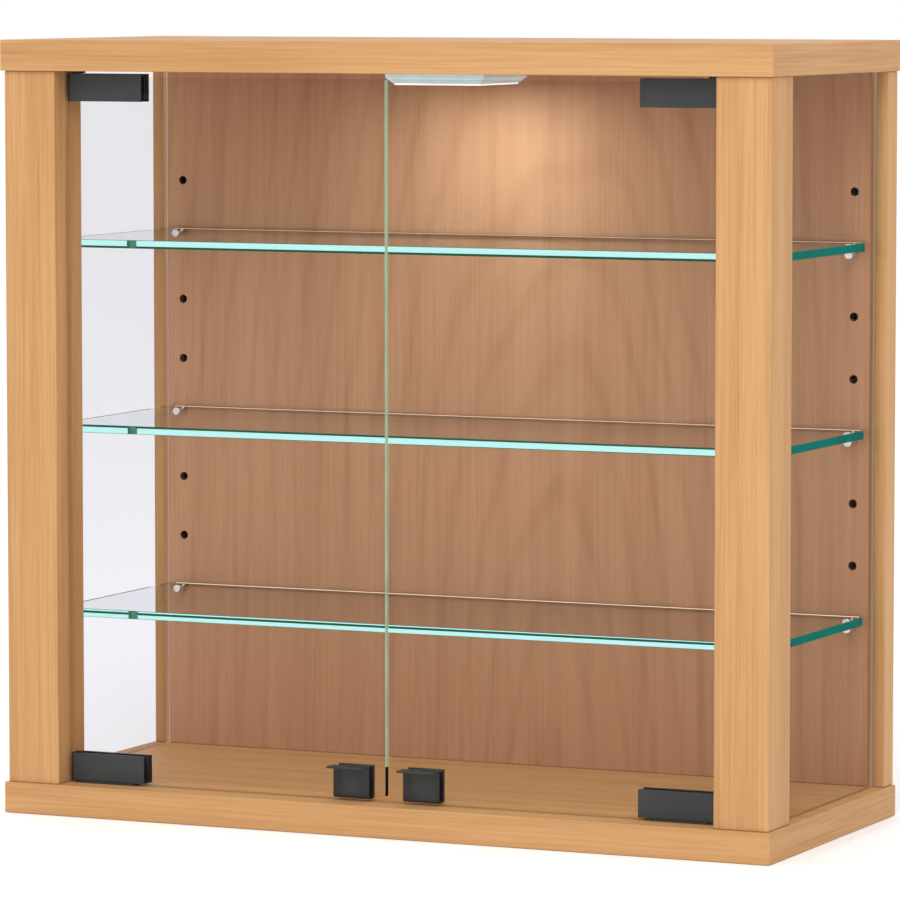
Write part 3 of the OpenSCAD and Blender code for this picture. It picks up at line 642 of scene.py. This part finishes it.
def rear_long_edge(edge):
    """True for a long edge in the rear half of a shelf"""
    return long_edge(edge) and edge.verts[0].co.y > 0


def front_long_edge(edge):
    """True for a long edge in the front half of a shelf"""
    return long_edge(edge) and edge.verts[0].co.y <= 0


def board_slots(node):
    """Names the slot of a board's face: 0 its length, 1 its two ends"""
    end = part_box(node)[1].x

    def slot_of(face):
        return int(abs(face.normal.x) > SQUARE and abs(abs(face.calc_center_median().x) - end) < MM)
    return slot_of


def back_board_slots():
    """Names the slot of the back board's face: 0 between the panes, darker with painted shade, 1 outside them
    or behind, 2 a bore, near black with painted shade
    """
    low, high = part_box("back_board")
    pane_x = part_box("right_side_glass")[0].x - MM

    def slot_of(face):
        centre = face.calc_center_median()
        if abs(centre.x) > pane_x or centre.y > high.y - MM:
            return 1
        in_bore = all(low[i] + BORE_INSET < centre[i] < high[i] - BORE_INSET for i in range(3))
        return 2 if in_bore else 0
    return slot_of


def shelf_slot(face):
    """The slot of a shelf's face: 0 clear faces, 1 side edges, 2 rear edge, 3 rear corners, 4 rear arrises"""
    n = face.normal
    if abs(n.z) > STRAIGHT or (n.y < -ASKEW and abs(n.x) < ASKEW):
        return 0
    if n.y > STRAIGHT:
        return 2
    if n.y > ASKEW:
        return 4 if abs(n.z) > RAISED else 3
    return 1


def side_pane_slots(low, high):
    """Names the slot of a side pane's face: 0 between the posts and boards, 1 in their grooves"""
    def slot_of(face):
        centre = face.calc_center_median()
        return int(not all(low[i] < centre[i] < high[i] for i in (1, 2)))
    return slot_of


def door_slots(inward):
    """Names the slot of a door's face: 0 clear faces, 1 the upright edge by the other door, 2 other edges"""
    def slot_of(face):
        n = face.normal
        if n.x * inward > MOSTLY:
            return 1
        return 0 if abs(n.y) > MOSTLY else 2
    return slot_of


def clamp_slots(clip):
    """Names the slot of a clamp's face: 0 its front, back, top and bottom, 1 its ends and its inside, which
    take a near-black copy of the coat as painted shade
    """
    low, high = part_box(clip)

    def slot_of(face):
        centre, n = face.calc_center_median(), face.normal
        for i in (1, 2):
            from_outside = min(abs(centre[i] - low[i]), abs(centre[i] - high[i]))
            if abs(n[i]) > SQUARE and from_outside < OUTER_INSET:
                return 0
        return 1
    return slot_of


# Bent sheet

def bend(bm, tip, centre, angle):
    """Turns the end of a strip round a centre in the YZ plane and returns the new end"""
    made = bmesh.ops.spin(bm, geom=[tip], cent=centre, axis=(1, 0, 0), dvec=(0, 0, 0),
                          angle=angle, steps=BEND_STEPS, use_duplicate=False)
    return [g for g in made["geom_last"] if isinstance(g, bmesh.types.BMVert)][0]


def lengthen(bm, tip, step):
    """Adds a straight step to the end of a strip and returns the new end"""
    made = bmesh.ops.extrude_vert_indiv(bm, verts=[tip])
    new = made["verts"][0]
    new.co = tip.co + Vector(step)
    return new


def handle_sheet(handle, door):
    """The outer face of a handle, from its lip down and round the lower edge of its door"""
    low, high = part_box(handle)
    door_low, door_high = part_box(door)
    outer = LINER + SHEET
    front, back, foot = door_low.y - outer, door_high.y + outer, door_low.z - outer
    quarter = math.pi / 2
    bm = bmesh.new()
    tip = bm.verts.new((low.x, low.y, high.z))
    tip = lengthen(bm, tip, (0, front - LIP_BEND - low.y, 0))
    tip = bend(bm, tip, (low.x, front - LIP_BEND, high.z - LIP_BEND), -quarter)
    tip = lengthen(bm, tip, (0, 0, foot + outer - tip.co.z))
    tip = bend(bm, tip, (low.x, front + outer, foot + outer), quarter)
    tip = lengthen(bm, tip, (0, back - outer - tip.co.y, 0))
    tip = bend(bm, tip, (low.x, back - outer, foot + outer), quarter)
    lengthen(bm, tip, (0, 0, high.z - tip.co.z))
    bmesh.ops.remove_doubles(bm, verts=bm.verts, dist=WELD)
    made = bmesh.ops.extrude_edge_only(bm, edges=bm.edges)
    ends = [g for g in made["geom"] if isinstance(g, bmesh.types.BMVert)]
    bmesh.ops.translate(bm, vec=(high.x - low.x, 0, 0), verts=ends)
    bmesh.ops.recalc_face_normals(bm, faces=bm.faces)
    return bm


# Finishes

beech_board = beech("beech_board", grain="X", shift=(0.31, 0.12, 0.4))
beech_band = beech("beech_edge_band", grain="Y", shift=(0.7, 0.2, 0.1))
beech_post = {"left": beech("beech_left_post", grain="Z", shift=(0.9, 0.35, 0.0)),
              "right": beech("beech_right_post", grain="Z", shift=(0.2, 0.65, 0.3))}
# The back board between the panes is a darker copy of the beech, painted shade; the outside copy keeps the
# plain colours
beech_back_painted_shade = beech("beech_back_board_painted_shade", grain="Z", shift=BACK_SHIFT, light=BEECH_PAINTED_SHADE_LIGHT,
                   dark=BEECH_PAINTED_SHADE_DARK, contrast=0.62, lines=0.24)
beech_back_outside = beech("beech_back_outside", grain="Z", shift=BACK_SHIFT, contrast=0.7, lines=0.15)
# Bores in near-black beech: painted shade in the holes
beech_bore_painted_shade = beech("beech_bores_painted_shade", grain="Z", shift=(0.5, 0.1, 0.2), light=BORE_PAINTED_SHADE_LIGHT,
                   dark=BORE_PAINTED_SHADE_DARK)
dowel_wood = beech("dowel_beech", grain="Z", shift=(0.5, 0.5, 0.5))
door_glass = clear_glass("door_glass", thin_glass, DOOR_SHINE, PANE_PASSES)
side_glass = clear_glass("side_glass", thin_glass, SIDE_SHINE, PANE_PASSES)
shelf_glass = clear_glass("shelf_glass", thick_glass, SHELF_SHINE, SHELF_PASSES)
shelf_side = glass_edge("shelf_side_edge", EDGE_TEAL)
shelf_rear = glass_edge("shelf_rear_edge", EDGE_TEAL, glow=REAR_PAINTED_GLOW)
shelf_corner = glass_edge("shelf_rear_corner", EDGE_TEAL, glow=CORNER_PAINTED_GLOW)
shelf_arris = glass_edge("shelf_rear_arris", EDGE_TEAL, glow=ARRIS_PAINTED_GLOW)
# Bedded edges and door rims: from outside a brown tone, a painted reflection of the wood around them; the
# bedded edges also have a painted glow inside
bedded_edge = {side: glass_edge(side + "_bedded_edge", EDGE_PAINTED_WOOD, glow=BED_PAINTED_GLOW[side], made=thin_glass)
               for side in SIDES}
door_rim = glass_edge("door_rim", EDGE_PAINTED_WOOD, made=thin_glass)
black_coat = coated("satin_black_coat", light=(0.029, 0.032, 0.032, 1), dark=(0.024, 0.026, 0.027, 1),
                    rough=0.45)
# Painted shade: a near-black copy of the coat for the clamps' ends and inside, where they lie in shade
black_painted_shade = coated("black_painted_shade", light=(0.006, 0.006, 0.006, 1), dark=(0.004, 0.004, 0.004, 1),
                      rough=0.6)
black_bush = coated("black_bush_plastic", light=(0.02, 0.02, 0.02, 1), dark=(0.014, 0.014, 0.014, 1),
                    rough=0.5)
nickel = coated("nickel_plate", light=(0.80, 0.78, 0.75, 1), dark=(0.70, 0.69, 0.67, 1),
                rough=0.22, metal=1.0, grit=1400.0, depth=0.01 * MM)
zinc = coated("zinc_plate", light=(0.62, 0.64, 0.66, 1), dark=(0.50, 0.52, 0.54, 1),
              rough=0.34, metal=1.0, grit=1100.0, depth=0.02 * MM)
black_screw = coated("blackened_steel", light=(0.06, 0.06, 0.062, 1), dark=(0.04, 0.04, 0.042, 1),
                     rough=0.38, metal=0.7)
rubber = coated("dark_liner", light=(0.014, 0.014, 0.015, 1), dark=(0.009, 0.009, 0.01, 1),
                rough=0.7, grit=1300.0)
# The lamp shell has a faint painted glow of its own, brightening it in the shade under the top board
lamp_shell = coated("lamp_shell", light=(0.58, 0.70, 0.71, 1), dark=(0.53, 0.65, 0.67, 1),
                    rough=0.4, grit=1500.0, depth=0.01 * MM, painted_gleam=0.12)
white_mask = coated("white_light_board", light=(0.84, 0.85, 0.83, 1), dark=(0.76, 0.78, 0.76, 1),
                    rough=0.45)
inlet_plastic = coated("black_inlet_plastic", light=(0.03, 0.03, 0.03, 1), dark=(0.02, 0.02, 0.02, 1),
                       rough=0.5)


# Sub-parts

def area_light(name, at, size, power):
    """A square light that shines straight down"""
    data = bpy.data.lights.new(name, "AREA")
    data.shape = "SQUARE"
    data.size = size
    data.energy = power
    obj = bpy.data.objects.new(name, data)
    obj.location = at
    bpy.context.scene.collection.objects.link(obj)
    return obj


def wood():
    """The boards, posts, back board, caps and dowels"""
    for node in ("top_board", "base_board"):
        board(node, [beech_board, beech_band], BOARD_ROUND, board_slots(node))
    board("back_board", [beech_back_painted_shade, beech_back_outside, beech_bore_painted_shade], POST_ROUND, back_board_slots())
    for side in SIDES:
        board(side + "_post", [beech_post[side]], POST_ROUND)
    small_part("screw_caps", "screw_caps_wood", "carcass", [beech_board], segments=1)
    for node in ("post_dowels", "back_dowels"):
        dress(node, dowel_wood)


def shelves():
    """The three glass shelves"""
    finishes = [shelf_glass, shelf_side, shelf_rear, shelf_corner, shelf_arris]
    for node in SHELVES:
        pane(node, node + "_pane", "carcass", finishes, shelf_slot,
             [(rear_long_edge, SHELF_REAR_ARRIS), (front_long_edge, SHELF_FRONT_ARRIS)])


def side_pane(side):
    """A fixed side pane, which stands in grooves of its post, the boards and the back board"""
    low = Vector((0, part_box(side + "_post")[1].y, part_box("base_board")[1].z))
    high = Vector((0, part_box("back_board")[0].y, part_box("top_board")[0].z))
    cuts = [(point, across) for point in (low, high) for across in ((0, 1, 0), (0, 0, 1))]
    pane(side + "_side_glass", side + "_side_pane", "carcass", [side_glass, bedded_edge[side]],
         side_pane_slots(low, high), [(any_edge, SIDE_ARRIS)], cuts)


def door_pane(side, inward):
    """A glass door, whose edge by the other door has a painted reflection of the black handle low down,
    beside the handle
    """
    low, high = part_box(side + "_handle")
    handle_painted_reflection = ("Z", low.z, high.z - low.z, EDGE_PAINTED_HANDLE_REFLECTION)
    edge = glass_edge(side + "_door_edge", EDGE_DOOR, handle_painted_reflection, painted_gleam=DOOR_EDGE_PAINTED_GLEAM, made=thin_glass)
    pane(side + "_door_glass", side + "_door_pane", side + "_door", [door_glass, edge, door_rim],
         door_slots(inward), [(any_edge, DOOR_ARRIS)])


def upright_panes():
    """The side panes and the doors"""
    for side, inward in zip(SIDES, (1, -1)):
        side_pane(side)
        door_pane(side, inward)


def hinges():
    """Clamps, pivots and what they hold"""
    for side in SIDES:
        for end in ENDS:
            clip = end + "_" + side + "_clip"
            small_part(clip, clip + "_coated", side + "_door",
                       [black_coat, black_painted_shade], METAL_ROUND, slot_of=clamp_slots(clip))
        lower = "lower_" + side + "_pivot_plate"
        small_part(lower, lower + "_coated", "carcass", [black_coat])
        upper = "upper_" + side + "_pivot_bush"
        small_part(upper, upper + "_moulded", "carcass", [black_bush])
        dress(side + "_pivot_pins", zinc)
        dress(side + "_clip_liners", rubber)
        dress(side + "_pressure_plates", zinc)
        dress(side + "_clamp_screws", black_screw)
    dress("pivot_plate_screws", zinc)


def handles():
    """Clip-on handles of bent sheet with a forward lip, and their liners"""
    for side in SIDES:
        handle = side + "_handle"
        sheet = piece(handle_sheet(handle, side + "_door_glass"), handle + "_sheet", side + "_door",
                      [black_coat], handle, even=False)
        solid = sheet.modifiers.new("sheet", "SOLIDIFY")
        solid.thickness = SHEET
        solid.offset = -1
        solid.use_even_offset = True
        dress(handle + "_liner", rubber)


def fixings():
    """Support pins, connecting screws and the wall hangers"""
    for node in SHELVES:
        small_part(node + "_supports", node + "_pins", "carcass", [nickel])
    for side in SIDES:
        plate = side + "_hanger_plate"
        small_part(plate, plate + "_zinc", "carcass", [zinc])
    for node in ("top_screws", "base_screws", "hanger_screws"):
        dress(node, zinc)


def lamp():
    """The flat lamp and the light that it gives"""
    low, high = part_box("lamp_diffuser")
    middle = (low + high) / 2
    milky = lit("milky_diffuser", LAMP_WARM, strength=1.0, middle=middle)
    chips = lit("light_chips", LAMP_CHIP, strength=1.5, middle=middle)
    small_part("lamp_housing", "lamp_housing_shell", "carcass", [lamp_shell])
    small_part("lamp_diffuser", "lamp_diffuser_milky", "carcass", [milky])
    dress("lamp_board", white_mask)
    dress("lamp_chips", chips)
    dress("lamp_inlet", inlet_plastic)
    dress("lamp_screws", zinc)
    at = (middle.x, middle.y, low.z - LAMP_DROP)
    light = area_light("lamp_light", at, high.x - low.x - LAMP_MARGIN, LAMP_POWER)
    light.data.color = LAMP_LIGHT
    light.visible_camera = False
    light.visible_glossy = False
    light.visible_transmission = False


# Studio

def soft_light(name, at, size, power):
    """A large square light that shines at the cabinet's middle"""
    obj = area_light(name, at, size, power)
    obj.rotation_mode = "QUATERNION"
    obj.rotation_quaternion = (Vector(AIM) - Vector(at)).to_track_quat("-Z", "Y")


def floor():
    """A plain pale floor under the base board"""
    bm = bmesh.new()
    bmesh.ops.create_grid(bm, x_segments=1, y_segments=1, size=FLOOR_REACH)
    bmesh.ops.translate(bm, vec=(0, 0, -FLOOR_DROP), verts=bm.verts)
    mesh = bpy.data.meshes.new("floor")
    bm.to_mesh(mesh)
    bm.free()
    pale = coated("pale_floor", light=grey(0.98), dark=grey(0.97), rough=0.7, grit=60.0, depth=0.05 * MM)
    mesh.materials.append(pale)
    obj = bpy.data.objects.new("floor", mesh)
    bpy.context.scene.collection.objects.link(obj)


def studio():
    """The room's even light and two large soft lights"""
    world = bpy.data.worlds.new("studio")
    world.use_nodes = True
    sky = world.node_tree.nodes["Background"]
    sky.inputs["Color"].default_value = grey(1.0)
    sky.inputs["Strength"].default_value = SKY_POWER
    bpy.context.scene.world = world
    soft_light("top_light", **TOP_LIGHT)
    soft_light("front_light", **FRONT_LIGHT)


def camera():
    """The camera at the photograph's angle"""
    data = bpy.data.cameras.new("camera")
    data.sensor_width = SENSOR
    data.lens = FOCAL_PIXELS / FRAME_PIXELS * SENSOR
    data.clip_end = CAMERA_REACH
    obj = bpy.data.objects.new("camera", data)
    obj.location = CAMERA_PLACE
    obj.rotation_euler = (math.radians(90 - CAMERA_DIP), 0, math.radians(CAMERA_TURN))
    bpy.context.scene.collection.objects.link(obj)
    bpy.context.scene.camera = obj


camera()
wood()
shelves()
upright_panes()
hinges()
handles()
fixings()
lamp()
floor()
studio()
bpy.context.scene.view_settings.view_transform = "Standard"
